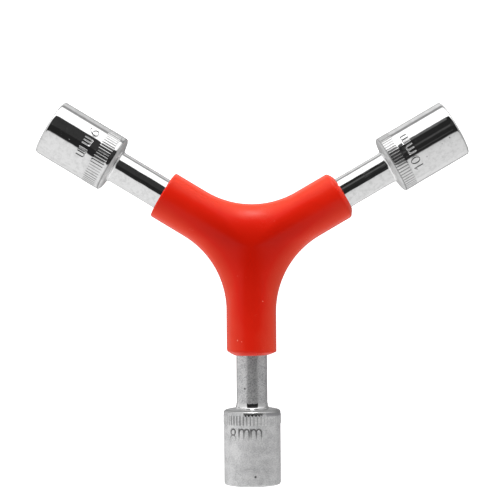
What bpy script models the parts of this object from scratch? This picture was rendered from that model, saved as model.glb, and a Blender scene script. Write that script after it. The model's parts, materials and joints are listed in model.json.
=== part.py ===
"""Three-armed socket spanner: a Y of steel rods with a moulded grip over its middle.

The tool lies flat in the XY plane with +Z up, in metres. The origin is the point where
the three arms' axes meet, half way up the tool. Every turned piece is modelled along its
own +X, as if its arm ran that way, and is then turned about Z into the arm's direction.
A length along an arm, counted from the origin, is called a station.
"""

import math

import bmesh
import bpy
from mathutils import Vector

# Clearances
gap = 0.0003
overrun = 0.0020
merge_distance = 0.000001

# Rods
rod_chamfer = 0.0005
rod_insertion = 0.0066

# Moulded grip: near the hub all its bores are as wide as the widest one
grip_wall = 0.0018
crotch_radius = 0.0217
hub_bore_reach = 0.0060

# Sockets: a wider relief, of this length at least, lies between the rod and the hexagon, and
# the lead is how far the mouth's chamfer reaches past the hexagon's corners
hexagon_depth = 0.0100
hexagon_clearance = 0.0001
least_relief = 0.0015
relief_cut = 0.00015
back_rim = 0.0003
back_dome = 0.0008
mouth_round = 0.0007
mouth_lead = 0.00025
knurl_groove = 0.00012
knurl_run_out = 0.00020

# Joints between the steel pieces
braze_toe = 0.00015
weld_bead_radius = 0.0008
weld_bead_sweep_degrees = 40.0

# Each arm in turn, anticlockwise from above. The grip's end has a corner round and a slope
# up to its bore, the shank is the bare rod from the grip's reach to the socket, and the
# wall is what the socket has beside the flats of its hexagon.
direction_10mm = 30.0
rod_diameter_10mm = 0.0080
grip_reach_10mm = 0.0256
grip_end_round_10mm = 0.0008
grip_end_slope_degrees_10mm = 33.0
shank_length_10mm = 0.0138
braze_length_10mm = 0.0006
braze_height_10mm = 0.0005
socket_length_10mm = 0.0188
nut_10mm = 0.0100
wall_10mm = 0.00225
knurl_setback_10mm = 0.0001
knurl_width_10mm = 0.0029
knurl_rise_10mm = 0.00005
knurl_ridges_10mm = 57

direction_9mm = 148.5
rod_diameter_9mm = 0.0080
grip_reach_9mm = 0.0253
grip_end_round_9mm = 0.0005
grip_end_slope_degrees_9mm = 3.0
shank_length_9mm = 0.01375
braze_length_9mm = 0.0006
braze_height_9mm = 0.0006
socket_length_9mm = 0.01865
nut_9mm = 0.0090
wall_9mm = 0.00260
knurl_setback_9mm = 0.00095
knurl_width_9mm = 0.0034
knurl_rise_9mm = 0.00005
knurl_ridges_9mm = 57

direction_8mm = 270.0
rod_diameter_8mm = 0.0076
grip_reach_8mm = 0.0258
grip_end_round_8mm = 0.0008
grip_end_slope_degrees_8mm = 30.0
shank_length_8mm = 0.0138
braze_length_8mm = 0.0012
braze_height_8mm = 0.0005
socket_length_8mm = 0.0188
nut_8mm = 0.0080
wall_8mm = 0.00295
knurl_setback_8mm = 0.0001
knurl_width_8mm = 0.0029
knurl_rise_8mm = 0.00012
knurl_ridges_8mm = 51

# Shares: of the socket's back that the braze may cover, and by which a bead thins at its ends
braze_face_share = 0.8
bead_taper_share = 0.5

# How finely round forms are faceted, and the angle past which an edge stays crisp
sharp_edge_degrees = 35.0
hexagon_sides = 6
rod_sides = 32
grip_sides = 32
crotch_steps = 12
dome_steps = 4
round_steps = 3
braze_steps = 4
bead_sides = 10
bead_steps = 10


class Arm:
    """One arm: the sizes of its grip's end, rod and socket, and what follows from them."""

    def __init__(self, name, direction, rod_diameter, grip_end, shank_length, braze, socket, knurl):
        self.name = name
        self.direction = direction
        self.rod_radius = rod_diameter / 2
        self.bore_radius = self.rod_radius + gap
        self.grip_reach, self.grip_end_round, self.grip_end_slope_degrees = grip_end
        self.shoulder_station = self.grip_reach + shank_length
        self.rod_end_station = self.shoulder_station + rod_insertion
        self.braze_length, self.braze_height = braze
        socket_length, nut, wall = socket
        self.mouth_station = self.shoulder_station + socket_length
        highest_floor = self.rod_end_station + least_relief
        self.hexagon_floor_station = max(self.mouth_station - hexagon_depth, highest_floor)
        across_flats = nut + hexagon_clearance
        self.hexagon_radius = across_flats / math.sqrt(3.0)
        self.lead_radius = self.hexagon_radius + mouth_lead
        self.socket_radius = across_flats / 2 + wall
        knurl_setback, knurl_width, self.knurl_rise, self.knurl_ridges = knurl
        self.knurl_start = self.shoulder_station + back_dome + knurl_setback
        self.knurl_end = self.knurl_start + knurl_width


arms = [
    Arm(
        "10mm", direction_10mm, rod_diameter_10mm,
        (grip_reach_10mm, grip_end_round_10mm, grip_end_slope_degrees_10mm),
        shank_length_10mm, (braze_length_10mm, braze_height_10mm),
        (socket_length_10mm, nut_10mm, wall_10mm),
        (knurl_setback_10mm, knurl_width_10mm, knurl_rise_10mm, knurl_ridges_10mm),
    ),
    Arm(
        "9mm", direction_9mm, rod_diameter_9mm,
        (grip_reach_9mm, grip_end_round_9mm, grip_end_slope_degrees_9mm),
        shank_length_9mm, (braze_length_9mm, braze_height_9mm),
        (socket_length_9mm, nut_9mm, wall_9mm),
        (knurl_setback_9mm, knurl_width_9mm, knurl_rise_9mm, knurl_ridges_9mm),
    ),
    Arm(
        "8mm", direction_8mm, rod_diameter_8mm,
        (grip_reach_8mm, grip_end_round_8mm, grip_end_slope_degrees_8mm),
        shank_length_8mm, (braze_length_8mm, braze_height_8mm),
        (socket_length_8mm, nut_8mm, wall_8mm),
        (knurl_setback_8mm, knurl_width_8mm, knurl_rise_8mm, knurl_ridges_8mm),
    ),
]
crotch_names = ["upper", "left", "right"]

# What follows for the pieces that the arms share
hub_bore_radius = max(arm.bore_radius for arm in arms)
grip_radius = hub_bore_radius + grip_wall
crotch_offset = grip_radius + crotch_radius
bead_line_radius = hub_bore_radius + weld_bead_radius


def spread(steps):
    """Evenly spaced shares from nought to one."""
    return [step / steps for step in range(steps + 1)]


def half_angle(index):
    """Half the angle from an arm to the next one anticlockwise, in radians."""
    turn = arms[(index + 1) % len(arms)].direction - arms[index].direction
    return math.radians(turn % 360.0) / 2


def circle(station, radius, sides):
    """Points of a circle round an arm's axis, the first one at the top."""
    turns = [math.tau * side / sides for side in range(sides)]
    return [Vector((station, radius * math.sin(turn), radius * math.cos(turn))) for turn in turns]


def mitred_circle(index, radius, sides, setback=0.0):
    """A circle round an arm's axis, each point run back to the mitre plane on its side."""
    ring = circle(0.0, radius, sides)
    for point in ring:
        side_angle = half_angle(index) if point.y > 0.0 else half_angle(index - 1)
        point.x = abs(point.y) / math.tan(side_angle) + setback
    return ring


def bridge(shape, near, far):
    """Faces between two rings, one of which may have twice as many points as the other."""
    if len(near) > len(far):
        near, far = far, near
    doubled = len(far) > len(near)
    for index, corner in enumerate(near):
        after = near[(index + 1) % len(near)]
        if doubled:
            first = far[2 * index]
            middle = far[2 * index + 1]
            last = far[(2 * index + 2) % len(far)]
            shape.faces.new((corner, first, middle))
            shape.faces.new((corner, middle, after))
            shape.faces.new((after, middle, last))
        else:
            shape.faces.new((corner, after, far[(index + 1) % len(far)], far[index]))


def add_rings(shape, rings, wrapped=False):
    """Skin rings of points in turn, and from the last back to the first when wrapped."""
    loops = [[shape.verts.new(point) for point in ring] for ring in rings]
    for near, far in zip(loops, loops[1:]):
        bridge(shape, near, far)
    if wrapped:
        bridge(shape, loops[-1], loops[0])
    return loops


def add_turned(shape, arm_shape, direction):
    """Turn one arm's mesh into its direction and add it to a shape."""
    mesh = bpy.data.meshes.new("arm")
    arm_shape.to_mesh(mesh)
    arm_shape.free()
    earlier = len(shape.verts)
    shape.from_mesh(mesh)
    bpy.data.meshes.remove(mesh)
    shape.verts.ensure_lookup_table()
    turn = math.radians(direction)
    for vertex in shape.verts[earlier:]:
        x, y, z = vertex.co
        vertex.co = (x * math.cos(turn) - y * math.sin(turn), x * math.sin(turn) + y * math.cos(turn), z)


def finish(shape, name, direction, material=None):
    """Turn a mesh into a named object that faces its arm's direction, or a cutter if bare."""
    bmesh.ops.remove_doubles(shape, verts=shape.verts, dist=merge_distance)
    bmesh.ops.recalc_face_normals(shape, faces=shape.faces)
    mesh = bpy.data.meshes.new(name)
    shape.to_mesh(mesh)
    shape.free()
    mesh.shade_smooth()
    mesh.set_sharp_from_angle(angle=math.radians(sharp_edge_degrees))
    piece = bpy.data.objects.new(name, mesh)
    piece.rotation_euler.z = math.radians(direction)
    bpy.context.scene.collection.objects.link(piece)
    if material:
        mesh.materials.append(material)
    else:
        piece.hide_render = True
        piece.display_type = "WIRE"
    return piece


def solid(name, direction, rings, material=None):
    """A closed solid over rings of points, with a flat cap at each end."""
    shape = bmesh.new()
    loops = add_rings(shape, rings)
    shape.faces.new(loops[0])
    shape.faces.new(loops[-1])
    return finish(shape, name, direction, material)


def cut(piece, cutter):
    """Take a cutter's volume out of a piece."""
    modifier = piece.modifiers.new("cut_" + cutter.name, "BOOLEAN")
    modifier.operation = "DIFFERENCE"
    modifier.solver = "EXACT"
    modifier.object = cutter


def finish_material(name, colour, metallic, roughness):
    """A surface with one colour, metallic value and roughness."""
    material = bpy.data.materials.new(name)
    material.use_nodes = True
    shader = material.node_tree.nodes["Principled BSDF"]
    shader.inputs["Base Color"].default_value = (*colour, 1.0)
    shader.inputs["Metallic"].default_value = metallic
    shader.inputs["Roughness"].default_value = roughness
    return material


def corner_arc(station, radius, size, start_degrees, end_degrees):
    """Profile points round a corner's centre, 0 degrees outwards and 90 along the arm."""
    points = []
    for share in spread(round_steps):
        turn = math.radians(start_degrees + (end_degrees - start_degrees) * share)
        points.append((station + size * math.sin(turn), radius + size * math.cos(turn)))
    return points


def edge_offset(station, angle):
    """How far the grip's outline is from an arm's axis, beside it or on the arc by this angle."""
    inward = min(max(crotch_offset / math.tan(angle) - station, 0.0), crotch_radius)
    return crotch_offset - math.sqrt(crotch_radius ** 2 - inward ** 2)


def grip_ring(index, share):
    """One ring of the grip's skin, at a share of the way from the mitre planes to its end.

    At the height R * sqrt(1 - u * u) the grip has its outline shrunk towards the hub to the
    share u of its size. That makes circles of the straight arms, blends them without a
    crease, and lets every arm's first ring lie on the mitre planes, where its neighbours
    start too.
    """
    end = arms[index].grip_reach - arms[index].grip_end_round
    ring = []
    for step in range(grip_sides):
        turn = math.tau * step / grip_sides
        across = math.sin(turn)
        shrunk = abs(across)
        angle = half_angle(index) if across > 0.0 else half_angle(index - 1)
        start = shrunk * (crotch_offset / math.tan(angle) - crotch_radius * math.cos(angle))
        station = start + share * (end - start)
        offset = across * edge_offset(station / max(shrunk, merge_distance), angle)
        ring.append(Vector((station, offset, grip_radius * math.cos(turn))))
    return ring


def grip_end_rings(arm):
    """Rings over the arm's rounded end, which slopes up to the edge of its bore."""
    corner_station = arm.grip_reach - arm.grip_end_round
    corner_radius = grip_radius - arm.grip_end_round
    slope = arm.grip_end_slope_degrees
    points = corner_arc(corner_station, corner_radius, arm.grip_end_round, 0.0, 90.0 - slope)
    station, radius = points[-1]
    rise = (radius - arm.bore_radius) * math.tan(math.radians(slope))
    points.append((station + rise, arm.bore_radius))
    return [circle(station, radius, grip_sides) for station, radius in points[1:]]


def make_grip(material):
    """The moulded grip: three blended arms, bored for the rods and hollowed for the welds.

    The skin of each arm runs out along its outside, over its end and back down its bore.
    """
    shape = bmesh.new()
    for index, arm in enumerate(arms):
        arm_shape = bmesh.new()
        rings = [grip_ring(index, share) for share in spread(crotch_steps)]
        rings += grip_end_rings(arm)
        rings.append(circle(hub_bore_reach, arm.bore_radius, grip_sides))
        rings.append(mitred_circle(index, hub_bore_radius, grip_sides))
        add_rings(arm_shape, rings)
        add_turned(shape, arm_shape, arm.direction)
    grip = finish(shape, "grip", 0.0, material)
    for index, name in enumerate(crotch_names):
        cut(grip, make_bead(index, "bead_pocket_" + name, gap))
    return grip


def make_rod(index, material):
    """A rod whose inner end is mitred against its two neighbours' ends."""
    arm = arms[index]
    setback = max(gap / 2 / math.sin(half_angle(side)) for side in (index, index - 1))
    shape = bmesh.new()
    rings = [mitred_circle(index, arm.rod_radius, rod_sides, setback)]
    rings.append(circle(arm.rod_end_station - rod_chamfer, arm.rod_radius, rod_sides))
    rings.append(circle(arm.rod_end_station, arm.rod_radius - rod_chamfer, rod_sides))
    loops = add_rings(shape, rings)
    shape.faces.new(loops[-1])
    mitre = loops[0]
    half = rod_sides // 2
    shape.faces.new(mitre[:half + 1])
    shape.faces.new(mitre[half:] + mitre[:1])
    return finish(shape, "rod_" + arm.name, arm.direction, material)


def make_bead(index, name, growth, material=None):
    """The bead in the crotch between an arm and the next, or the pocket that clears it.

    It follows the curve that keeps its distance from both rods: half an ellipse in the
    mitre plane, from below the crotch, round its outside, to above it.
    """
    angle = half_angle(index)
    direction = arms[index].direction + math.degrees(angle)
    sweep = math.radians(weld_bead_sweep_degrees) + growth / bead_line_radius
    rings = []
    for share in spread(bead_steps):
        place = sweep * (2.0 * share - 1.0)
        centre = bead_line_radius * Vector((math.cos(place) / math.sin(angle), 0.0, math.sin(place)))
        along = Vector((-math.sin(place) / math.sin(angle), 0.0, math.cos(place))).normalized()
        outward = Vector((along.z, 0.0, -along.x))
        sideways = Vector((0.0, 1.0, 0.0))
        taper = 0.0 if growth else bead_taper_share * (2.0 * share - 1.0) ** 4
        radius = (weld_bead_radius + growth) * (1.0 - taper)
        ring = []
        for side in range(bead_sides):
            turn = math.tau * (side + 0.5) / bead_sides
            ring.append(centre + radius * (math.cos(turn) * outward + math.sin(turn) * sideways))
        rings.append(ring)
    return solid(name, direction, rings, material)


def back_dome_rings(arm):
    """Rings from the flat rim round a socket's bore, over its domed back, to its full radius."""
    rim_radius = arm.bore_radius + back_rim
    rings = []
    for share in spread(dome_steps):
        turn = math.pi / 2 * share
        station = arm.shoulder_station + back_dome * (1.0 - math.cos(turn))
        radius = rim_radius + (arm.socket_radius - rim_radius) * math.sin(turn)
        rings.append(circle(station, radius, arm.knurl_ridges))
    return rings


def knurled_circle(arm, station):
    """A circle with a ridge at each point that its plain neighbours have, and grooves between."""
    ridges = circle(station, arm.socket_radius + arm.knurl_rise, 2 * arm.knurl_ridges)
    grooves = circle(station, arm.socket_radius - knurl_groove, 2 * arm.knurl_ridges)
    return [ridge if place % 2 == 0 else groove for place, (ridge, groove) in enumerate(zip(ridges, grooves))]


def make_socket(arm, material):
    """A turned socket: bored for the rod, relieved, and broached to a hexagon from its mouth."""
    radius = arm.socket_radius
    mouth_size = min(mouth_round, (radius - arm.lead_radius) / 2)
    mouth_arc = corner_arc(arm.mouth_station - mouth_size, radius - mouth_size, mouth_size, 0.0, 90.0)
    rings = back_dome_rings(arm)
    rings.append(circle(arm.knurl_start, radius, arm.knurl_ridges))
    rings.append(knurled_circle(arm, arm.knurl_start + knurl_run_out))
    rings.append(knurled_circle(arm, arm.knurl_end - knurl_run_out))
    rings.append(circle(arm.knurl_end, radius, arm.knurl_ridges))
    rings.extend(circle(station, ring_radius, arm.knurl_ridges) for station, ring_radius in mouth_arc)
    socket = solid("socket_" + arm.name, arm.direction, rings, material)

    relief_middle = (arm.rod_end_station + arm.hexagon_floor_station) / 2
    relief_radius = max(arm.hexagon_radius, arm.bore_radius) + relief_cut
    cutters = {
        "rod_bore_": [
            circle(arm.shoulder_station - overrun, arm.bore_radius, rod_sides),
            circle(relief_middle, arm.bore_radius, rod_sides),
        ],
        "relief_": [
            circle(arm.rod_end_station, relief_radius, rod_sides),
            circle(arm.hexagon_floor_station, relief_radius, rod_sides),
        ],
        "hexagon_": [
            circle(relief_middle, arm.hexagon_radius, hexagon_sides),
            circle(arm.mouth_station + overrun, arm.hexagon_radius, hexagon_sides),
        ],
        "lead_in_": [
            circle(arm.mouth_station - arm.lead_radius / 2, arm.lead_radius / 2, rod_sides),
            circle(arm.mouth_station + overrun, arm.lead_radius + overrun, rod_sides),
        ],
    }
    for name, cutter_rings in cutters.items():
        cut(socket, solid(name + arm.name, arm.direction, cutter_rings))
    return socket


def make_braze_fillet(arm, material):
    """The ring of braze in the corner between the rod and the socket's back, hollow-faced."""
    bore = arm.bore_radius
    back = arm.shoulder_station - gap
    height = min(arm.braze_height, (arm.socket_radius - bore) * braze_face_share)
    profile = [(back, bore), (back, bore + height)]
    for share in spread(braze_steps):
        turn = math.radians(90.0 * share)
        station = back - braze_toe - (arm.braze_length - braze_toe) * (1.0 - math.cos(turn))
        radius = bore + braze_toe + (height - braze_toe) * (1.0 - math.sin(turn))
        profile.append((station, radius))
    profile.append((back - arm.braze_length, bore))
    shape = bmesh.new()
    rings = [circle(station, radius, rod_sides) for station, radius in profile]
    add_rings(shape, rings, wrapped=True)
    return finish(shape, "braze_fillet_" + arm.name, arm.direction, material)


def build():
    """Clear the scene and make every piece, each in its own place."""
    for piece in list(bpy.data.objects):
        bpy.data.objects.remove(piece)
    chrome = finish_material("chrome_plate", (0.80, 0.80, 0.80), 1.0, 0.12)
    red_plastic = finish_material("red_plastic", (0.72, 0.03, 0.015), 0.0, 0.40)
    weld_steel = finish_material("weld_steel", (0.33, 0.31, 0.30), 1.0, 0.60)
    make_grip(red_plastic)
    for index, arm in enumerate(arms):
        make_rod(index, chrome)
        make_socket(arm, chrome)
        make_braze_fillet(arm, chrome)
        make_bead(index, "weld_bead_" + crotch_names[index], 0.0, weld_steel)


build()
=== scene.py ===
# %% [markdown]
# # A three-armed socket spanner, photographed from straight above
# The tool is a Y of three short steel rods with a moulded grip over its middle and a socket on each end.
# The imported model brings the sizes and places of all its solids. This script works each piece out again as
# a much finer surface on the same sizes, gives it the finish of the real one, and builds the room around
# it, because polished chrome shows little but the room that it mirrors.

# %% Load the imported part
import json
import math

import bmesh
import bpy
import numpy as np
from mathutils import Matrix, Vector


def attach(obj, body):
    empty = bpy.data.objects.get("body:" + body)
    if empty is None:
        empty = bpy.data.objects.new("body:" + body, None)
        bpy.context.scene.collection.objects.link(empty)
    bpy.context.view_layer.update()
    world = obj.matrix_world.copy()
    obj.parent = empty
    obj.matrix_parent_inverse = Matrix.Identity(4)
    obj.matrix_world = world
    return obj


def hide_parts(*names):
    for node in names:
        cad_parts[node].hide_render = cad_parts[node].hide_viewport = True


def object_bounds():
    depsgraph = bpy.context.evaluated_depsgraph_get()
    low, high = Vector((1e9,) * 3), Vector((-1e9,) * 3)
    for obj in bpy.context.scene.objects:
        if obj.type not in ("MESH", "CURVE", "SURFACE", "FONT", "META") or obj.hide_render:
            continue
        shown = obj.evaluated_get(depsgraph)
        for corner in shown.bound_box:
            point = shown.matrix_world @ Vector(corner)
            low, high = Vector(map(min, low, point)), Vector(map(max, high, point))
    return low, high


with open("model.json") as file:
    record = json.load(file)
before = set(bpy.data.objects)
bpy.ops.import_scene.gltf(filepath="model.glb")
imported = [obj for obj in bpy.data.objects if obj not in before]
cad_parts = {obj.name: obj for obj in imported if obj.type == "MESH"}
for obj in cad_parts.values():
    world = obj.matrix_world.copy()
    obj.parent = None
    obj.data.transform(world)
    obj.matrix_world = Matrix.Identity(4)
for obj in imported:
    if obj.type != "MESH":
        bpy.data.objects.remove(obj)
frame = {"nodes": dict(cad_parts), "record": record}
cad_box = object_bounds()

print("nodes:", ", ".join(sorted(frame["nodes"])))

# %% [markdown]
# ## The arms and what is measured on them
# All three arms are built in the same way, so each gets a frame of its own: the station is the distance
# from the hub along the arm, across is to its left, and height is above the tool's middle plane. A turned
# piece is then a radius for each station and each turn round the axis, with the turn counted from the top.
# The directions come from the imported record, and the sizes from the nodes, so nothing has to be fitted.

# %% Frames
mm = 0.001
mounts = {mount["name"]: mount for mount in frame["record"]["mounts"]}


def node_points(node):
    """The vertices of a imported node, as rows of x, y and z."""
    vertices = frame["nodes"][node].data.vertices
    points = np.empty(3 * len(vertices), dtype=np.float32)
    vertices.foreach_get("co", points)
    return points.reshape(-1, 3).astype(float)


def round_points(station, radius, turn):
    """Points in an arm's frame, as station, across and height, at these radii and turns round its axis."""
    parts = np.broadcast_arrays(station, radius * np.sin(turn), radius * np.cos(turn))
    return np.stack(parts, axis=-1)


def into_part(points, direction):
    """Points of an arm's frame in the part's frame: station is along the arm's direction."""
    station, across, height = np.moveaxis(points, -1, 0)
    x = station * math.cos(direction) - across * math.sin(direction)
    y = station * math.sin(direction) + across * math.cos(direction)
    return np.stack([x, y, height], axis=-1)


def into_arm(points, direction):
    """Station, distance from the arm's axis and turn round it of points in the part's frame."""
    station = points[:, 0] * math.cos(direction) + points[:, 1] * math.sin(direction)
    across = points[:, 1] * math.cos(direction) - points[:, 0] * math.sin(direction)
    return station, np.hypot(across, points[:, 2]), np.arctan2(across, points[:, 2])


# %% Measured sizes
# The round and the slope in degrees of each grip end: on the arm's left side, then on its right
grip_ends = {"10mm": (0.8, 30, 0.8, 33), "9mm": (0.5, 3, 0.5, 3), "8mm": (0.25, 21, 0.85, 30)}
grip_radius = np.abs(node_points("grip")[:, 2]).max()


class Arm:
    """One arm: its direction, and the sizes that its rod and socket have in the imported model."""

    def __init__(self, size):
        self.size = size
        axis = mounts["mouth_" + size]["axis"]
        self.direction = math.atan2(axis[1], axis[0])
        flat = np.array(mounts["nut_flat_" + size]["pos_m"])
        self.half_nut = abs(flat[1] * axis[0] - flat[0] * axis[1])
        station, radius, turn = into_arm(node_points("socket_" + size), self.direction)
        self.shoulder = station.min()
        self.mouth = station.max()
        self.radius = radius[station > (self.shoulder + self.mouth) / 2].max()
        self.knurl_rise = radius.max() - self.radius
        raised = radius > self.radius + self.knurl_rise / 2
        self.knurl_start = station[raised].min()
        self.knurl_end = station[raised].max()
        # The raised points of one ridge have nearly the same turn, so each wider gap is a groove
        steps = np.diff(np.sort((turn[raised] + 0.01) % math.tau))
        self.ridges = (steps > 0.02).sum() + 1
        station, radius = into_arm(node_points("rod_" + size), self.direction)[:2]
        self.rod_end = station.max()
        self.rod_radius = radius.max()
        station, radius = into_arm(node_points("grip"), self.direction)[:2]
        self.grip_tip = station.max()
        self.grip_bore = radius[station > self.grip_tip - 0.1 * mm].min()
        # The corner round at the grip's end starts where the grip's full radius stops
        straight = station[radius > 0.996 * grip_radius].max()
        self.grip_reach = straight + grip_ends[size][2] * mm


arms = [Arm("10mm"), Arm("9mm"), Arm("8mm")]
hub_bore = max(arm.grip_bore for arm in arms)
for arm in arms:
    print(f"{arm.size}: {math.degrees(arm.direction) % 360:.1f} degrees, "
          f"grip to {arm.grip_reach / mm:.2f} mm, {2 * arm.radius / mm:.2f} mm across, "
          f"socket {arm.shoulder / mm:.1f} to {arm.mouth / mm:.1f} mm, {arm.ridges} ridges")


# %% Crotches
def half_angle(index):
    """Half the angle from an arm to the next one anticlockwise."""
    return (arms[(index + 1) % 3].direction - arms[index].direction) % math.tau / 2


def side_values(turn, left, right):
    """One value for the columns on an arm's left, and another for those on its right."""
    return np.where(np.sin(turn) >= 0, left, right)


def mitre_slope(index, turn):
    """How far the plane halfway to the next arm runs along an arm for each step across it."""
    return side_values(turn, 1 / math.tan(half_angle(index)), 1 / math.tan(half_angle(index - 1)))


def crotch_radius(index):
    """The radius r of the arc between two arms, from how far the grip reaches between them.

    An arc tangent to both edges, at a distance R from the axes, passes the hub at (R + r) / sin h - r.
    """
    middle = arms[index].direction + half_angle(index)
    points = node_points("grip")[:, :2]
    reach = points @ [math.cos(middle), math.sin(middle)]
    off_line = np.abs(points @ [-math.sin(middle), math.cos(middle)])
    sine = math.sin(half_angle(index))
    return (reach[off_line < 0.01 * mm].max() * sine - grip_radius) / (1 - sine)


crotch = sum(crotch_radius(index) for index in range(3)) / 3
print(f"grip {2 * grip_radius / mm:.2f} mm thick, with {crotch / mm:.2f} mm arcs between its arms")

# %% [markdown]
# ## From a grid of points to a mesh
# Each surface is a grid: its rows run along the piece and its columns round it. Four neighbours make a
# face. A grid that closes on itself both ways, like a ring, is closed as it stands; one that ends in a
# point or meets another grid is closed by merging the points that fall together. The volume inside tells
# whether the faces point outwards: it comes out negative when they don't.

# %% Skins
merge_distance = 0.001 * mm
sharp_angle = math.radians(38)


def grid_faces(rows, columns, closed):
    """Faces of a grid wrapped round its columns, and from the last row to the first when closed."""
    places = np.arange(rows * columns).reshape(rows, columns)
    if closed:
        places = np.vstack([places, places[:1]])
    right = np.roll(places, -1, axis=1)
    corners = [places[:-1], right[:-1], right[1:], places[1:]]
    return np.stack(corners, axis=-1).reshape(-1, 4)


def add_object(name, data):
    """A new object with this mesh or camera, in the scene."""
    made = bpy.data.objects.new(name, data)
    bpy.context.scene.collection.objects.link(made)
    return made


def make_skin(name, grids, materials, closed=False, finishes=None, hollows=None):
    """A closed mesh over one or more grids of points, as an object of the part.

    Finishes holds the place in materials of each face. Hollows holds a value for each point, from 0 on the
    plain surface to 1 at the bottom of a stroke or groove, which the materials read to paint dirt there,
    and painted shade as well in the knurls' grooves.
    """
    points = np.concatenate([grid.reshape(-1, 3) for grid in grids])
    faces = []
    earlier = 0
    for grid in grids:
        faces.append(grid_faces(grid.shape[0], grid.shape[1], closed) + earlier)
        earlier += grid.shape[0] * grid.shape[1]
    faces = np.concatenate(faces)
    corners = points[faces]
    fans = np.cross(corners[:, 1] - corners[:, 0], corners[:, 2] - corners[:, 0])
    fans += np.cross(corners[:, 2] - corners[:, 0], corners[:, 3] - corners[:, 0])
    volume = np.einsum("ij,ij->", corners[:, 0], fans) / 6
    if volume < 0:
        faces = faces[:, ::-1]
    mesh = bpy.data.meshes.new(name)
    mesh.vertices.add(len(points))
    mesh.vertices.foreach_set("co", points.astype(np.float32).ravel())
    mesh.loops.add(faces.size)
    mesh.loops.foreach_set("vertex_index", np.ascontiguousarray(faces, dtype=np.int32).ravel())
    mesh.polygons.add(len(faces))
    mesh.polygons.foreach_set("loop_start", np.arange(0, faces.size, 4, dtype=np.int32))
    if finishes is not None:
        mesh.polygons.foreach_set("material_index", finishes.astype(np.int32).ravel())
    mesh.update(calc_edges=True)
    if hollows is not None:
        mesh.attributes.new("hollow", "FLOAT", "POINT").data.foreach_set("value", hollows.ravel())
    if not closed:
        shape = bmesh.new()
        shape.from_mesh(mesh)
        bmesh.ops.remove_doubles(shape, verts=shape.verts, dist=merge_distance)
        shape.to_mesh(mesh)
        shape.free()
    for material in materials:
        mesh.materials.append(material)
    mesh.shade_smooth()
    mesh.set_sharp_from_angle(angle=sharp_angle)
    piece = add_object(name, mesh)
    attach(piece, "root")
    print(f"{name}: {len(mesh.polygons)} faces, {abs(volume) / mm ** 3:.0f} cubic millimetres")
    return piece


def smooth(low, high, values):
    """A step from 0 to 1 between two values, with the S-shaped rise 3 t squared less 2 t cubed."""
    share = np.clip((values - low) / (high - low), 0, 1)
    return share * share * (3 - 2 * share)


def bell(values, middle, width):
    """A bell curve that is 1 at its middle: e to the power of minus (value - middle) / width squared."""
    return np.exp(-((values - middle) / width) ** 2)


def arc(station, radius, size, start, end, steps):
    """Profile points round a corner's centre, with 0 degrees outwards and 90 along the arm."""
    turn = np.radians(np.linspace(start, end, steps + 1))
    return np.stack([station + size * np.sin(turn), radius + size * np.cos(turn)], axis=-1)


# %% [markdown]
# ## Writing shader maths as sums
# A material's pattern is a sum of simple fields, which reads best as a sum. This small class wraps one
# output of a node, and each operator adds the Math node that does it.

# %% Shader sums
class Wire:
    """One output of a shader node, which can be added, taken away, multiplied and divided."""

    def __init__(self, tree, output=None):
        self.tree = tree
        self.output = output

    def node(self, kind, inputs=None, output=0, stops=None, **settings):
        """Adds a node of a type: its settings first, then the values or links of its inputs."""
        made = self.tree.nodes.new("ShaderNode" + kind)
        for name, value in settings.items():
            setattr(made, name, value)
        if stops:
            ramp = made.color_ramp.elements
            while len(ramp) < len(stops):
                ramp.new(1.0)
            for element, (position, colour) in zip(ramp, stops):
                element.position = position
                element.color = colour
        for name, value in (inputs or {}).items():
            if isinstance(value, Wire):
                self.tree.links.new(value.output, made.inputs[name])
            else:
                made.inputs[name].default_value = value
        return Wire(self.tree, made.outputs[output])

    def maths(self, operation, *values):
        """A Math node on these values."""
        return self.node("Math", dict(enumerate(values)), operation=operation)

    def step(self, low, high):
        """From 0 to 1 as this value goes from low to high, with a smooth start and end."""
        limits = {"Value": self, "From Min": low, "From Max": high}
        return self.node("MapRange", limits, interpolation_type="SMOOTHSTEP")

    def near(self, middle, inner, outer):
        """1 while this value is within inner of a middle value, and 0 beyond outer."""
        return 1 - self.maths("ABSOLUTE", self - middle).step(inner, outer)

    def blend(self, near, far):
        """A colour that goes from near to far as this value goes from 0 to 1."""
        return self.node("Mix", {"Factor": self, 6: near, 7: far}, output=2, data_type="RGBA")

    def __add__(self, other):
        return self.maths("ADD", self, other)

    def __sub__(self, other):
        return self.maths("SUBTRACT", self, other)

    def __rsub__(self, other):
        return self.maths("SUBTRACT", other, self)

    def __mul__(self, other):
        return self.maths("MULTIPLY", self, other)

    def __truediv__(self, other):
        return self.maths("DIVIDE", self, other)

    __radd__ = __add__
    __rmul__ = __mul__


def new_material(name, **constants):
    """A material with constants on its Principled BSDF, a wire to start sums from, and the coordinates."""
    material = bpy.data.materials.new(name)
    material.use_nodes = True
    shader = material.node_tree.nodes["Principled BSDF"]
    for socket, value in constants.items():
        shader.inputs[socket.replace("_", " ")].default_value = value
    wire = Wire(material.node_tree)
    return material, shader, wire, wire.node("TexCoord", output="Object")


def feed(shader, socket, wire):
    """Links a wire to a socket of the shader."""
    wire.tree.links.new(wire.output, shader.inputs[socket])


def feed_bump(shader, height):
    """Links a Bump node for this height, in thousandths of a millimetre, to the shader."""
    bump = height.node("Bump", {"Height": height, "Distance": 0.001 * mm}, output="Normal")
    feed(shader, "Normal", bump)


def axes(vector):
    """The three coordinates of a vector, each as a wire."""
    return [vector.node("SeparateXYZ", {"Vector": vector}, output=axis) for axis in range(3)]


def grey(value):
    """An opaque grey of this brightness."""
    return (value, value, value, 1)


# %% [markdown]
# ## Chrome
# Bright chrome is a mirror with a faintly grey tint. What makes it look real is how it falls short of a
# perfect one: the polished steel under the plate is a little wavy, which bends the edges of what it
# mirrors, and it has a few pits, hairline scratches and cloudy patches. All of them are small, so they
# come as bump and roughness. The pieces' coordinates are metres, so the size of each pattern is written
# as so many times mm.

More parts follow.
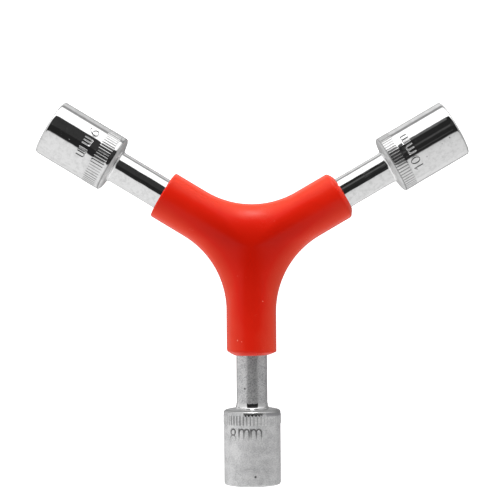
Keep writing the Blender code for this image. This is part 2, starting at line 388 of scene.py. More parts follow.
# %% Spots and scratches
def noise(wire, place, size, detail=2.0, roughness=0.5, stretch=(1, 1, 1), shift=(0, 0, 0)):
    """Soft noise from 0 to 1 whose patches are about size across.

    Stretch multiplies the coordinates, so the noise changes that many times as fast along each axis.
    """
    place = wire.node("Mapping", {"Vector": place, "Location": shift, "Scale": stretch})
    inputs = {"Vector": place, "Scale": 1 / size, "Detail": detail, "Roughness": roughness}
    return wire.node("TexNoise", inputs)


def spots(wire, place, spacing, radius, share):
    """1 inside scattered spots: one cell in so many has a spot of this radius at its middle."""
    cells = {"Vector": place, "Scale": 1 / spacing, "Randomness": 1.0}
    near = wire.node("TexVoronoi", cells, output="Distance")
    chance = wire.node("TexVoronoi", cells, output="Color")
    chance = wire.node("SeparateColor", {"Color": chance}, output="Red")
    inside = 1 - near.step(radius / spacing * 0.5, radius / spacing)
    return inside * (1 - chance.step(share - 0.01, share + 0.01))


def mark(wire, place, middle, radius):
    """1 inside one spot, whose middle is given in millimetres."""
    away = {0: place, 1: tuple(value * mm for value in middle)}
    away = wire.node("VectorMath", away, output="Value", operation="DISTANCE")
    return 1 - away.step(radius * 0.6, radius * 1.2)


def scratches(wire, place, length, width, turn, share):
    """Fine lines, from cells stretched along one direction and broken by a slower noise."""
    stretched = {"Vector": place, "Rotation": turn, "Scale": (width / length, 1, 1)}
    place_along = wire.node("Mapping", stretched)
    inputs = {"Vector": place_along, "Scale": 0.5 / width, "Randomness": 1.0}
    edge = wire.node("TexVoronoi", inputs, output="Distance", feature="DISTANCE_TO_EDGE")
    broken = noise(wire, place, length * 0.7, shift=(3.1, 1.7, 0.4))
    return (1 - edge.step(0.01, 0.05)) * broken.step(1 - share, 1.05 - share)


# %% Polished chrome
plate_pits = ((27.5, 18.7, 3.2), (43.0, 21.7, 6.8), (48.5, 26.3, 7.2))


def polished_chrome(name, roughness, brightest, metallic, dirt=(0.20, 0.20)):
    """Mirror plate over slightly wavy steel, with pits, hairlines and clouds.

    The dirt in the hollows, with painted shade in the knurls' grooves, is given by its grey and by how much
    rougher it is than the plate.
    """
    material, shader, wire, place = new_material(name, Metallic=metallic)
    hollow = wire.node("Attribute", output="Fac", attribute_name="hollow")
    clouds = noise(wire, place, 1.3 * mm, detail=4.0, roughness=0.65)
    pits = spots(wire, place, 2.2 * mm, 0.16 * mm, 0.22)
    for middle in plate_pits:
        pits = pits + mark(wire, place, middle, 0.22 * mm)
    lines = scratches(wire, place, 6 * mm, 0.25 * mm, (0.3, 0.2, 0.9), 0.35)
    worn = wire.maths("MINIMUM", clouds.step(0.40, 0.75) * 0.5 + pits, 1.0)
    plate = worn.blend(grey(brightest), grey(0.66 * brightest))
    hollow_grey, hollow_roughness = dirt
    feed(shader, "Base Color", hollow.blend(plate, grey(hollow_grey)))
    uneven = 0.05 * clouds.step(0.45, 0.8) + 0.25 * pits + 0.12 * lines + hollow_roughness * hollow
    feed(shader, "Roughness", roughness + uneven)
    waves = noise(wire, place, 2.2 * mm, detail=1.0)
    ripple = noise(wire, place, 0.5 * mm, detail=2.0)
    height = 12.0 * waves + 0.6 * ripple - 12.0 * pits - 0.5 * lines
    feed_bump(shader, height)
    return material


# %% [markdown]
# The smallest socket and its rod weren't polished before they were plated. The turning marks still run
# round them, too fine to see one by one, and they smear reflections along the arm but hardly across it.
# Marks along one coordinate give that smear by themselves: this arm lies along Y, so the marks are noise
# that changes quickly with Y and slowly with X and Z. Two deep pits hold dirt, and so does a stain round
# the start of the knurl, mostly on its +X side.

# %% Satin chrome
grimy_place = -40.8 * mm
# The grey of the hollows on the smallest socket: dirt in the deep pits and stamp strokes, and dirt and
# painted shade in the knurl's grooves
dirt_and_shade_grey = 0.13
# Deep pits on the smallest socket and its rod: the middle and the radius, in millimetres
deep_pits = (((0.7, -55.8, 7.0), 0.30), ((-1.8, -34.6, 3.4), 0.27))


def satin_chrome(name, roughness, depth, brightest, coarseness):
    """Plate over turning marks that run round an arm along Y, with grain and pits, dirt in the hollows, and
    painted shade in the knurl's grooves.
    """
    material, shader, wire, place = new_material(name, Metallic=0.85)
    hollow = wire.node("Attribute", output="Fac", attribute_name="hollow")
    marks = noise(wire, place, 0.9 * mm, detail=3.0, roughness=0.7, stretch=(1, 14, 1))
    grain = noise(wire, place, 0.26 * mm, detail=3.0, roughness=0.7)
    clouds = noise(wire, place, 2.4 * mm, detail=3.0)
    deep = sum(mark(wire, place, middle, radius * mm) for middle, radius in deep_pits)
    pits = spots(wire, place, 3.0 * mm, 0.20 * mm, 0.30) + deep
    hollow = wire.maths("MAXIMUM", hollow, 0.9 * deep)
    x, y = axes(place)[:2]
    stain = y.near(grimy_place, 0.2 * mm, 0.6 * mm)
    stain = stain * (0.9 * x.step(2 * mm, 4 * mm) + 0.25 * (0 - x).step(2 * mm, 5 * mm))
    worn = clouds.step(0.3, 0.8) * 0.35 + grain.step(0.40, 0.66) * coarseness + pits + stain
    worn = wire.maths("MINIMUM", worn, 1.0)
    plate = worn.blend(grey(brightest), (0.34, 0.34, 0.35, 1))
    feed(shader, "Base Color", hollow.blend(plate, grey(dirt_and_shade_grey)))
    feed(shader, "Roughness", roughness + 0.08 * clouds + 0.08 * grain + 0.2 * pits)
    height = depth * marks + 2.5 * grain - 20.0 * pits
    feed_bump(shader, height)
    return material


# %% [markdown]
# Inside the mouths the broach has dragged steel along the flats, and hardly any chrome reaches there, so
# the walls are greyer and rougher, with fine marks.

# %% Broached steel and weld metal
def broached_steel():
    """Grey steel with drag marks, thinly plated."""
    material, shader, wire, place = new_material("broached_steel", Metallic=1.0)
    marks = noise(wire, place, 0.35 * mm, detail=4.0, roughness=0.7)
    stains = noise(wire, place, 1.8 * mm, detail=3.0)
    feed(shader, "Base Color", stains.step(0.3, 0.7).blend(grey(0.55), (0.36, 0.35, 0.34, 1)))
    feed(shader, "Roughness", 0.30 + 0.25 * marks)
    feed_bump(shader, 4.0 * marks)
    return material


def weld_metal():
    """Bare weld metal with straw and blue heat tints."""
    material, shader, wire, place = new_material("weld_metal", Metallic=1.0)
    tint = noise(wire, place, 2.0 * mm, detail=2.0)
    grain = noise(wire, place, 0.25 * mm, detail=3.0)
    stops = [(0.30, (0.33, 0.31, 0.30, 1)), (0.52, (0.42, 0.30, 0.17, 1)), (0.68, (0.20, 0.22, 0.34, 1))]
    feed(shader, "Base Color", wire.node("ValToRGB", {"Fac": tint}, stops=stops))
    feed(shader, "Roughness", 0.42 + 0.3 * grain)
    feed_bump(shader, 20.0 * grain)
    return material


# %% [markdown]
# ## Red moulded plastic
# The grip is a soft, slightly translucent red plastic moulded round the welded rods, with a fine satin
# skin. Its colour holds painted shade and painted light: a deeper red is painted over the hub on top, as
# shade, and a more orange red towards its edges, as light. The height above the middle plane and the
# distance from the hub set how much of each, and a slow noise varies it. The skin has a very fine grain
# that spreads highlights, light specks where the pigment didn't mix, and scuffs.

# %% Red plastic
# The grip's colours: painted shade on top over the hub, a middle red, and painted light at the edges
shaded_top_red = (0.575, 0.0085, 0.0018, 1)
half_shaded_red = (0.75, 0.0165, 0.0052, 1)
lit_edge_red = (0.88, 0.0780, 0.0360, 1)
pale_red = (1.0, 0.30, 0.22, 1)
# Single specks on the lower arm: the middle and the radius, in millimetres
grip_specks = (((2.8, -13.2, 5.4), 0.16), ((-3.4, -22.7, 5.0), 0.20), ((-2.4, -23.0, 5.6), 0.12))


def red_plastic():
    """Satin red plastic with flow patches, pale specks, hairline scuffs, painted shade on top and painted
    light at its edges.
    """
    material, shader, wire, place = new_material("red_plastic", Specular_IOR_Level=0.10)
    x, y, z = axes(place)
    flow = noise(wire, place, 9 * mm, detail=2.0)
    grain = noise(wire, place, 0.25 * mm, detail=3.0, roughness=0.6)
    specks = spots(wire, place, 4.2 * mm, 0.14 * mm, 0.20)
    scuffs = scratches(wire, place, 4 * mm, 0.22 * mm, (0.0, 0.1, 0.5), 0.30)
    from_hub = wire.maths("SQRT", x * x + y * y)
    # Painted shade: the higher a point above the middle plane, the darker its red, less so towards the arms'
    # ends; the lower edges get painted light, with a slow noise of real tone mixed in
    thick = (z * z) / grip_radius ** 2 * (1 - 0.45 * from_hub.step(0.0, 24 * mm))
    lit_edges_and_flow = wire.maths("MAXIMUM", 1 - thick + 0.25 * (flow - 0.5), 0.0)
    stops = [(0.0, shaded_top_red), (0.45, half_shaded_red), (1.0, lit_edge_red)]
    red = wire.node("ValToRGB", {"Fac": lit_edges_and_flow}, stops=stops)
    for middle, radius in grip_specks:
        specks = specks + mark(wire, place, middle, radius * mm)
    pale = wire.maths("MINIMUM", specks * 0.7 + scuffs * 0.12, 1.0)
    feed(shader, "Base Color", pale.blend(red, pale_red))
    feed(shader, "Roughness", 0.20 + 0.06 * grain + 0.06 * flow + 0.10 * scuffs)
    height = 2.0 * grain + 14.0 * flow + 3.0 * specks - 2.0 * scuffs
    feed_bump(shader, height)
    return material


# %% [markdown]
# ## The finishes
# Pieces share their finishes. The rods and the two larger sockets are mirrors, with rolled knurls, turned
# backs and brushed fillets, which have a softer sheen. The smallest socket is dull, with a half polished
# back, and its rod is satin. The numbers, which say how rough, bright and coarse each finish is, were set by
# holding renders beside the photograph.

# %% Finishes
chrome = polished_chrome("polished_chrome", 0.045, 0.70, 1.0)
# The knurls' hollows are painted nearly black: dirt and painted shade in the grooves
rolled = polished_chrome("rolled_chrome", 0.17, 0.68, 1.0, (0.06, 0.50))
turned = polished_chrome("turned_chrome", 0.40, 0.68, 0.8)
brushed = polished_chrome("brushed_chrome", 0.18, 0.76, 1.0)
shoulder_chrome = polished_chrome("shoulder_chrome", 0.18, 0.64, 1.0, (0.06, 0.50))
satin = satin_chrome("satin_chrome", 0.24, 6.0, 0.72, 0.85)
dull = satin_chrome("dull_chrome", 0.50, 9.0, 0.80, 0.42)
broached = broached_steel()
welded = weld_metal()
plastic = red_plastic()
print("materials:", ", ".join(material.name for material in bpy.data.materials))

# %% [markdown]
# ## The grip
# Seen from above, its outline is three straight arms joined by arcs. Every cut across an arm is a round.
# A shape that does both, and has no crease where the arms meet, is the outline shrunk towards the hub: at
# the share u of its size it lies at the height R times the root of 1 - u squared. On the straight arms
# that gives circles, and between them quarter ellipses. Each arm's skin runs from the planes halfway to
# its neighbours, where the three meet, out over its end, and back down its bore.

# %% Grip sizes
hub_bore_reach = 6.0 * mm
grip_lip = 0.25 * mm
grip_columns = 240
grip_step = 0.22 * mm
lip_clearance = 0.15 * mm
parting_height = 0.035 * mm
parting_width = 0.16 * mm
corner_rows = 10
slope_rows = 6
slope_crown = 0.06 * mm
lip_rows = 5


def edge_offset(station, angle):
    """The outline's distance from the arm's axis: R beside the arm, and on the arc nearer the hub."""
    offset = grip_radius + crotch
    inward = np.clip(offset / math.tan(angle) - station, 0, crotch)
    return offset - np.sqrt(crotch ** 2 - inward ** 2)


def mitre_station(angle):
    """The station at which the outline reaches the plane halfway to the next arm."""
    return (grip_radius + crotch) / math.tan(angle) - crotch * math.cos(angle)


# %% Grip surface
def grip_blend(index, turn, end_station):
    """Rows from the mitre planes to the end's round: the outline shrunk by u, at R root(1 - u^2)."""
    shrink = np.abs(np.sin(turn))
    rows = int(end_station.max() / grip_step)
    share = np.linspace(0, 1, rows)[:, None]
    left_angle, right_angle = half_angle(index), half_angle(index - 1)
    start = shrink * side_values(turn, mitre_station(left_angle), mitre_station(right_angle))
    station = start + share * (end_station - start)
    unshrunk = station / np.maximum(shrink, 1e-6)
    left, right = edge_offset(unshrunk, left_angle), edge_offset(unshrunk, right_angle)
    across = shrink * side_values(turn, left, -right)
    return np.stack([station, across, np.broadcast_to(grip_radius * np.cos(turn), station.shape)], axis=-1)


def grip_end(arm, turn, size, slope, reach):
    """Rows over the end: a corner round, a slightly domed slope up to the bore's lip, and into the bore."""
    lip_radius = arm.rod_radius + lip_clearance
    rows = []
    for share in np.linspace(0, 1, corner_rows + 1)[1:]:
        angle = share * (math.pi / 2 - slope)
        rows.append((reach - size + size * np.sin(angle), grip_radius - size + size * np.cos(angle)))
    station, radius = rows[-1]
    last = lip_radius + grip_lip
    for share in np.linspace(0, 1, slope_rows + 1)[1:]:
        crown = slope_crown * math.sin(math.pi * share)
        nearer = radius + (last - radius) * share
        rows.append((station + (radius - nearer) * np.tan(slope) + crown, nearer))
    station = rows[-1][0]
    for angle in np.linspace(0, math.pi / 2, lip_rows + 1)[1:]:
        rows.append((station - grip_lip * (1 - math.cos(angle)), last - grip_lip * math.sin(angle)))
    rows.append((station - 2 * grip_lip, lip_radius))
    rows.append((station - 4 * grip_lip, arm.grip_bore))
    stations = np.stack([np.broadcast_to(row[0], turn.shape) for row in rows])
    radii = np.stack([np.broadcast_to(row[1], turn.shape) for row in rows])
    return round_points(stations, radii, turn)


def grid_normals(grid):
    """Unit normals of a wrapped grid, from the cross product of its row and column differences."""
    along = np.gradient(grid, axis=0)
    around = np.roll(grid, -1, axis=1) - np.roll(grid, 1, axis=1)
    normals = np.cross(around, along)
    normals /= np.maximum(np.linalg.norm(normals, axis=-1, keepdims=True), 1e-12)
    return normals


def grip_arm(index):
    """One arm's skin in its own frame, with the raised line where the mould's halves met."""
    arm = arms[index]
    turn = np.linspace(0, math.tau, grip_columns, endpoint=False)
    left_size, left_slope, right_size, right_slope = grip_ends[arm.size]
    side = 0.5 + 0.5 * np.sin(turn)
    size = (right_size + (left_size - right_size) * side) * mm
    slope = np.radians(right_slope + (left_slope - right_slope) * side)
    blend = grip_blend(index, turn, arm.grip_reach - size)
    end = grip_end(arm, turn, size, slope, arm.grip_reach)
    bore_start = np.abs(np.sin(turn)) * hub_bore * mitre_slope(index, turn)
    bore_start = round_points(bore_start, hub_bore, turn)
    bore_end = round_points(hub_bore_reach, arm.grip_bore, turn)
    grid = np.concatenate([blend, end, bore_end[None], bore_start[None]])
    outward = grid_normals(grid)
    outward *= np.sign((outward[..., 1:] * grid[..., 1:]).sum(axis=-1))[..., None]
    line = bell(grid[..., 2], 0, parting_width)
    on_skin = np.arange(len(grid))[:, None] < len(blend) + corner_rows
    return grid + outward * (parting_height * line * on_skin)[..., None]


grids = [into_part(grip_arm(index), arm.direction) for index, arm in enumerate(arms)]
grip = make_skin("moulded_grip", grids, [plastic])
# The chrome in the photograph is a pure grey, with no red in it beside the grip
grip.visible_glossy = False
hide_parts("grip")

# %% [markdown]
# ## The rods
# Each is a length of round bar. Polishing by hand on a belt leaves the bar very slightly out of round, by
# about a hundredth of a millimetre, and chrome shows it: the edges of the dark reflection waver. So the
# surface gets a slow swell along its length. The inner end is cut to the planes halfway to its neighbours.

# %% Rods
rod_columns = 192
rod_step = 0.2 * mm
rod_chamfer = 0.5 * mm
rod_gap = 0.3 * mm
rod_swell = {"10mm": 0.006 * mm, "9mm": 0.012 * mm, "8mm": 0.003 * mm}
# How far the polish on the fillet runs up the satin rod
polish_reach = 1.42 * mm


def swell(station, turn, height, seed):
    """A slow unevenness: two waves along the arm that lean round it by different amounts."""
    first = np.sin(math.tau * station / (6.3 * mm) + np.cos(turn + seed) * 1.4 + seed)
    second = np.sin(math.tau * station / (3.7 * mm) + 2 * turn + 2.6 * seed)
    return height * (0.65 * first + 0.35 * second)


def rod_grid(index):
    """Rows along a rod from its mitred end, which closes on a line, to its chamfered end, a point."""
    arm = arms[index]
    turn = np.linspace(0, math.tau, rod_columns, endpoint=False)
    setback = rod_gap / 2 / math.sin(min(half_angle(index), half_angle(index - 1)))
    start = np.abs(np.sin(turn)) * arm.rod_radius * mitre_slope(index, turn) + setback
    end = arm.rod_end - rod_chamfer
    rows = int(end / rod_step)
    station = start + np.linspace(0, 1, rows)[:, None] * (end - start)
    radius = arm.rod_radius + swell(station, turn, rod_swell[arm.size], index + 1.0)
    tail_station = np.array([[arm.rod_end], [arm.rod_end]]) + 0 * turn
    tail_radius = np.array([[arm.rod_radius - rod_chamfer], [0.0]]) + 0 * turn
    rest = round_points(np.vstack([station, tail_station]), np.vstack([radius, tail_radius]), turn)
    closing_line = np.stack([0 * turn + setback, 0 * turn, rest[0, :, 2]], axis=-1)
    return into_part(np.concatenate([closing_line[None], rest]), arm.direction)


for index, arm in enumerate(arms):
    finish = satin if arm.size == "8mm" else chrome
    grid = rod_grid(index)
    station = into_arm(grid[:-1].reshape(-1, 3), arm.direction)[0]
    near_fillet = station > arm.shoulder - polish_reach
    rod = make_skin("shank_" + arm.size, [grid], [finish, chrome], finishes=near_fillet)
    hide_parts("rod_" + arm.size)

# %% [markdown]
# ## The sockets
# A socket is turned from bar, bored for the rod, knurled, broached to a hexagon and stamped with its size.
# Nearly all of it is a profile turned round the axis, so one grid holds the whole piece: its rows follow
# the profile over the outside, round the mouth, down the hexagon and back through the bore. The knurl and
# the stamp are small changes to the radius of the outside, and the hexagon is a radius that depends on
# the turn: half the nut's width over the cosine of the angle from the middle of the flat.
#
# The smallest socket's knurl is deeper and starts later, and it is nearly worn away on one side. That side
# is a turn in radians, counted from the top to the left, and the wear falls off round it as a bell curve.

# %% Socket sizes
columns_per_ridge = 14
back_rim = 0.3 * mm
back_dome = 0.8 * mm
mouth_round = 0.7 * mm
mouth_lead = 0.25 * mm
hexagon_depth = 10.0 * mm
relief_cut = 0.15 * mm
bore_clearance = 0.02 * mm
knurl_depth = {"10mm": 0.032 * mm, "9mm": 0.056 * mm, "8mm": 0.16 * mm}
knurl_delay = {"10mm": 0.0 * mm, "9mm": 0.0 * mm, "8mm": 0.50 * mm}
knurl_run_out = 0.35 * mm
# The share of each ridge's width that its groove takes
groove_share = 0.55
knurl_wear = {"10mm": 0.0, "9mm": 0.0, "8mm": 0.90}
worn_side = 0.72
worn_width = 0.55

# %% [markdown]
# The size is stamped with hand punches, whose strokes push metal down and leave a slightly raised rim. A
# stroke is a line of points. How deep the surface goes depends only on the distance to the nearest stroke,
# so the whole stamp is one distance worked out over the grid.

# %% Stamped sizes
stroke_depth = 0.11 * mm
rim_height = 0.008 * mm


def signed_turn(turn):
    """The turn from the top, between half a turn to the right, which is negative, and half to the left."""
    return (turn + math.pi) % math.tau - math.pi


def loop_stroke(x, y, width, height, start, end):
    """Points on an ellipse between two angles, counted from the right and anticlockwise."""
    turn = np.radians(np.linspace(start, end, 13))
    return np.stack([x + width / 2 * np.cos(turn), y + height / 2 * np.sin(turn)], axis=-1)


def line_stroke(*points):
    """Straight strokes through these points."""
    return np.array(points, dtype=float)


# Each glyph has its width and its strokes, in shares of its height
glyphs = {
    "0": (0.62, [loop_stroke(0.31, 0.5, 0.62, 1.0, 0, 360)]),
    "1": (0.24, [line_stroke((0.0, 0.78), (0.24, 1.0), (0.24, 0.0))]),
    "8": (0.58, [loop_stroke(0.29, 0.76, 0.48, 0.48, 0, 360), loop_stroke(0.29, 0.26, 0.58, 0.52, 0, 360)]),
    "9": (0.60, [loop_stroke(0.30, 0.70, 0.60, 0.60, 0, 360), loop_stroke(-0.10, 0.70, 1.40, 1.40, 0, -78)]),
    "m": (0.86, [
        line_stroke((0.0, 0.0), (0.0, 1.0)),
        loop_stroke(0.215, 0.76, 0.43, 0.48, 180, 0),
        line_stroke((0.43, 0.76), (0.43, 0.0)),
        loop_stroke(0.645, 0.76, 0.43, 0.48, 180, 0),
        line_stroke((0.86, 0.76), (0.86, 0.0)),
    ]),
}


def stroke_distance(across, upwards, strokes):
    """Distance from each point to the nearest stroke.

    On a stretch from a to b the nearest point is a + h (b - a), with the share h held between 0 and 1.
    """
    nearest = np.full(np.broadcast(across, upwards).shape, np.inf)
    for stroke in strokes:
        for start, end in zip(stroke, stroke[1:]):
            run = end - start
            share = ((across - start[0]) * run[0] + (upwards - start[1]) * run[1]) / (run @ run)
            share = np.clip(share, 0, 1)
            distance = np.hypot(across - start[0] - share * run[0], upwards - start[1] - share * run[1])
            nearest = np.minimum(nearest, distance)
    return nearest


def stamp_depth(distance, width):
    """Down by the full depth in a stroke of this width, with sloping walls, and a raised rim beside it."""
    groove = 1 - smooth(0, 0.5 * width, distance)
    rim = bell(distance, 0.65 * width, 0.2 * width)
    return stroke_depth * groove - rim_height * rim, groove


# %% [markdown]
# Each stamp is given by where its foot and head lie along the arm, and the width of its strokes. A punch
# that leaned left its marks deeper at the head than at the foot, by the lean. Each mark has the angle of its
# middle round the socket, and how tall and how wide it is. All were set by eye and hand, so they differ.

# %% Places of the stamps
stamps = {
    "10mm": {"head": 44.1, "foot": 46.4, "width": 0.34, "lean": 0.0, "marks": [
        ("1", -32.5, 1.0, 1.0), ("0", -16.3, 1.0, 1.0), ("m", 7.3, 0.74, 1.45), ("m", 31, 0.74, 1.4)]},
    "9mm": {"head": 46.0, "foot": 48.2, "width": 0.34, "lean": 0.0, "marks": [
        ("9", -37.2, 1.1, 1.15), ("m", -13.4, 0.9, 1.0), ("m", 10.8, 0.9, 1.1)]},
    "8mm": {"head": 44.3, "foot": 47.3, "width": 0.48, "lean": 0.85, "marks": [
        ("8", -42.5, 1.0, 1.0), ("m", -17, 1.0, 1.0), ("m", 8, 1.0, 1.0)]},
}


def stamp_field(arm, station, turn):
    """How far the socket's surface is pressed in at each station and turn, and where the strokes are."""
    stamp = stamps[arm.size]
    tall = (stamp["foot"] - stamp["head"]) * mm
    nearest = np.full(np.broadcast(station, turn).shape, np.inf)
    for character, middle, height, stretch in stamp["marks"]:
        width, strokes = glyphs[character]
        across = signed_turn(turn) * arm.radius - math.radians(middle) * arm.radius
        size = np.array([tall * height * stretch, tall * height])
        scaled = [(stroke - [width / 2, 0]) * size for stroke in strokes]
        upwards = stamp["foot"] * mm - station
        nearest = np.minimum(nearest, stroke_distance(across, upwards, scaled))
    height = np.clip((stamp["foot"] * mm - station) / tall, 0, 1)
    deeper = 1 + stamp["lean"] * (2 * height - 1)
    pressed, strokes = stamp_depth(nearest, stamp["width"] * mm * deeper)
    return pressed * deeper, strokes * np.minimum(deeper, 1)


# %% Socket surface
# Rows at a stamp, in millimetres: their distance, and how far past it they end and wider rows start
stamp_row = 0.08
stamp_margin = 0.4
stamp_gap = 0.5


def knurl_field(arm, station, turn):
    """Flat-topped ridges along the arm with narrow grooves between them, run out at both ends.

    A groove is 1 at its bottom and falls to 0 at its sides, less where wear has taken the ridges down: by a
    bell curve of the turn round the middle of the worn side. The second value is how hollow a point is.
    """
    place = arm.ridges * turn / math.tau
    from_groove = np.abs(2 * (place - np.floor(place)) - 1)
    start = arm.knurl_start + knurl_delay[arm.size]
    along = smooth(start - knurl_run_out, start, station)
    along = along * (1 - smooth(arm.knurl_end, arm.knurl_end + knurl_run_out, station))
    wear = knurl_wear[arm.size] * bell(signed_turn(turn), worn_side, worn_width)
    grooves = (1 - smooth(0, groove_share, from_groove)) * (1 - wear)
    return along * (arm.knurl_rise - knurl_depth[arm.size] * grooves), along * grooves


def outside_profile(arm, corner_radius):
    """The outside from the bore at the shoulder to the mouth's inner edge, as stations and radii."""
    lead = corner_radius + mouth_lead
    mouth = min(mouth_round, (arm.radius - lead) / 2)
    stamp = stamps[arm.size]
    places = [arm.shoulder + back_dome, arm.knurl_start - knurl_run_out, arm.knurl_start]
    places += [arm.knurl_start + knurl_delay[arm.size], arm.knurl_end, arm.knurl_end + knurl_run_out]
    spans = zip(places, places[1:], (3, 6, 6, 4, 6))
    straight = [np.linspace(start, end, rows)[1:] for start, end, rows in spans]
    straight += [
        np.arange(stamp["head"] - stamp_margin, stamp["foot"] + stamp_margin, stamp_row) * mm,
        np.linspace((stamp["foot"] + stamp_gap) * mm, arm.mouth - mouth, 12)[:-1],
    ]
    straight = np.unique(np.round(np.concatenate(straight), 8))
    straight = np.stack([straight, np.full(straight.shape, arm.radius)], axis=-1)
    rim = arm.grip_bore + back_rim
    turn = np.linspace(0, math.pi / 2, 16)
    dome = [arm.shoulder + back_dome * (1 - np.cos(turn)), rim + (arm.radius - rim) * np.sin(turn)]
    return np.concatenate([
        [[arm.shoulder, arm.rod_radius + bore_clearance]],
        np.stack(dome, axis=-1),
        straight,
        arc(arm.mouth - mouth, arm.radius - mouth, mouth, 0, 90, 10),
        [[arm.mouth, (arm.radius - mouth + lead) / 2]],
    ])


# %% [markdown]
# The grooves of the knurls are painted darker with dirt and painted shade, on the 9 mm one more on its left
# side than on its right. Dirt stays in a narrow seam where the back meets the body. The smallest has its
# dirt in a ring over its back instead, and then a polished rim whose edge follows the ridges.

# %% Dirt and polish on the sockets
# The dirt and painted shade in the grooves on the right side and on the left, and the turns between which
# it changes
knurl_dirt_and_shade = {"10mm": (0.75, 0.75), "9mm": (0.22, 0.85), "8mm": (0.75, 0.75)}
left_side = (0.3, 0.8)
seam_dirt = {"10mm": 0.70, "9mm": 0.90, "8mm": 0.0}
seam_width = 0.14 * mm
back_dirt = {"10mm": 0.0, "9mm": 0.0, "8mm": 0.62}
dirt_ring = 0.36 * mm
ring_width = 0.20 * mm
# How far the polish reaches past the back, where the sine of the turn from its middle is below this
polished_rim = {"10mm": 0.0 * mm, "9mm": 0.0 * mm, "8mm": 0.60 * mm}
rim_middle = 0.08
rim_sine = 0.39
rim_raggedness = 0.3
plain_face, inside_face, back_face, knurl_face = range(4)


def outside_dirt_and_shade(arm, station, turn, grooves, strokes):
    """How dark each point of the outside is painted: dirt and painted shade in the knurl's grooves, and dirt
    in strokes, along the seam and on the back.
    """
    right_dirt_and_shade, left_dirt_and_shade = knurl_dirt_and_shade[arm.size]
    # The knurl's grooves: dirt and painted shade, with a different amount on each side
    groove_dirt_and_shade = right_dirt_and_shade + (left_dirt_and_shade - right_dirt_and_shade) * smooth(*left_side, signed_turn(turn))
    seam = bell(station - arm.shoulder, back_dome, seam_width)
    hollows = np.maximum(groove_dirt_and_shade * grooves, strokes) + seam_dirt[arm.size] * seam
    ring = bell(station - arm.shoulder, dirt_ring, ring_width)
    on_back = station < arm.shoulder + back_dome
    return hollows + back_dirt[arm.size] * (0.25 + 0.75 * ring) * on_back


def outside_finishes(arm, station, turn):
    """The finish of each face of the outside: the back with its polished rim, the knurl, or plain."""
    back_end = arm.shoulder + back_dome
    ragged = polished_rim[arm.size] * (1 + rim_raggedness * np.cos(arm.ridges * turn))
    on_rim = (station < back_end + ragged) & (np.abs(np.sin(turn - rim_middle)) < rim_sine)
    on_knurl = (station > arm.knurl_start - knurl_run_out) & (station < arm.knurl_end)
    return np.where((station < back_end) | on_rim, back_face, np.where(on_knurl, knurl_face, plain_face))


# %% [markdown]
# Behind the mouth come the lead, the hexagon, the wider relief and the bore for the rod. The lead is a cone
# cut by the flats, so its radius at each turn is the larger of the cone's and the hexagon's.

# %% Whole sockets
def socket_grid(arm):
    """The whole socket as one closed grid, the finish of each face, and how hollow each point is."""
    turn = np.linspace(0, math.tau, columns_per_ridge * arm.ridges, endpoint=False)
    corner_radius = arm.half_nut * 2 / math.sqrt(3)
    outside = outside_profile(arm, corner_radius)
    station = outside[:, :1]
    body = (station > arm.shoulder + back_dome / 2) & (station < arm.mouth - mouth_round)
    knurl, grooves = knurl_field(arm, station, turn)
    pressed, strokes = stamp_field(arm, station, turn)
    radius = outside[:, 1:] + body * (knurl - pressed)
    hollows = outside_dirt_and_shade(arm, station, turn, body * grooves, body * strokes)
    finishes = outside_finishes(arm, station, turn)

    lead = corner_radius + mouth_lead
    floor = arm.mouth - hexagon_depth
    chamfer = np.linspace(0, lead - arm.half_nut, 13)
    depth = np.concatenate([chamfer, np.linspace(1 * mm, hexagon_depth, 8)])
    hexagon = arm.half_nut / np.cos(turn % (math.pi / 3) - math.pi / 6)
    cone = (lead - depth)[:, None]

    relief = max(corner_radius, arm.grip_bore) + relief_cut
    bore = arm.rod_radius + bore_clearance
    back = [(floor, relief), (arm.rod_end, relief), (arm.rod_end, bore), (arm.shoulder + 1 * mm, bore)]
    back = np.array(back)
    station = np.vstack([station, (arm.mouth - depth)[:, None], back[:, :1]])
    radius = np.vstack([radius, np.maximum(hexagon, cone), back[:, 1:] + 0 * turn])
    grid = into_part(round_points(station, radius, turn), arm.direction)
    inside = (len(grid) - len(outside), len(turn))
    finishes = np.vstack([finishes, np.full(inside, inside_face)])
    hollows = np.vstack([hollows, np.zeros(inside)])
    return grid, finishes, hollows


# The materials are in the order of the face numbers: plain, inside, back and knurl
for arm in arms:
    materials = [chrome, broached, turned, rolled]
    if arm.size == "8mm":
        materials = [dull, broached, shoulder_chrome, dull]
    grid, finishes, hollows = socket_grid(arm)
    socket = make_skin("turned_socket_" + arm.size, [grid], materials, True, finishes, hollows)
    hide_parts("socket_" + arm.size)

# %% [markdown]
# ## Braze fillets
# Each socket was brazed to its rod before plating, and the braze drew into the corner as a hollow curve.
# It is a ring: a quarter circle between two short toes, turned round the arm and closed on itself.

# %% Braze fillets
braze_toe = 0.10 * mm
braze_columns = 192
braze_seat = 0.06 * mm
braze_root = 0.05 * mm


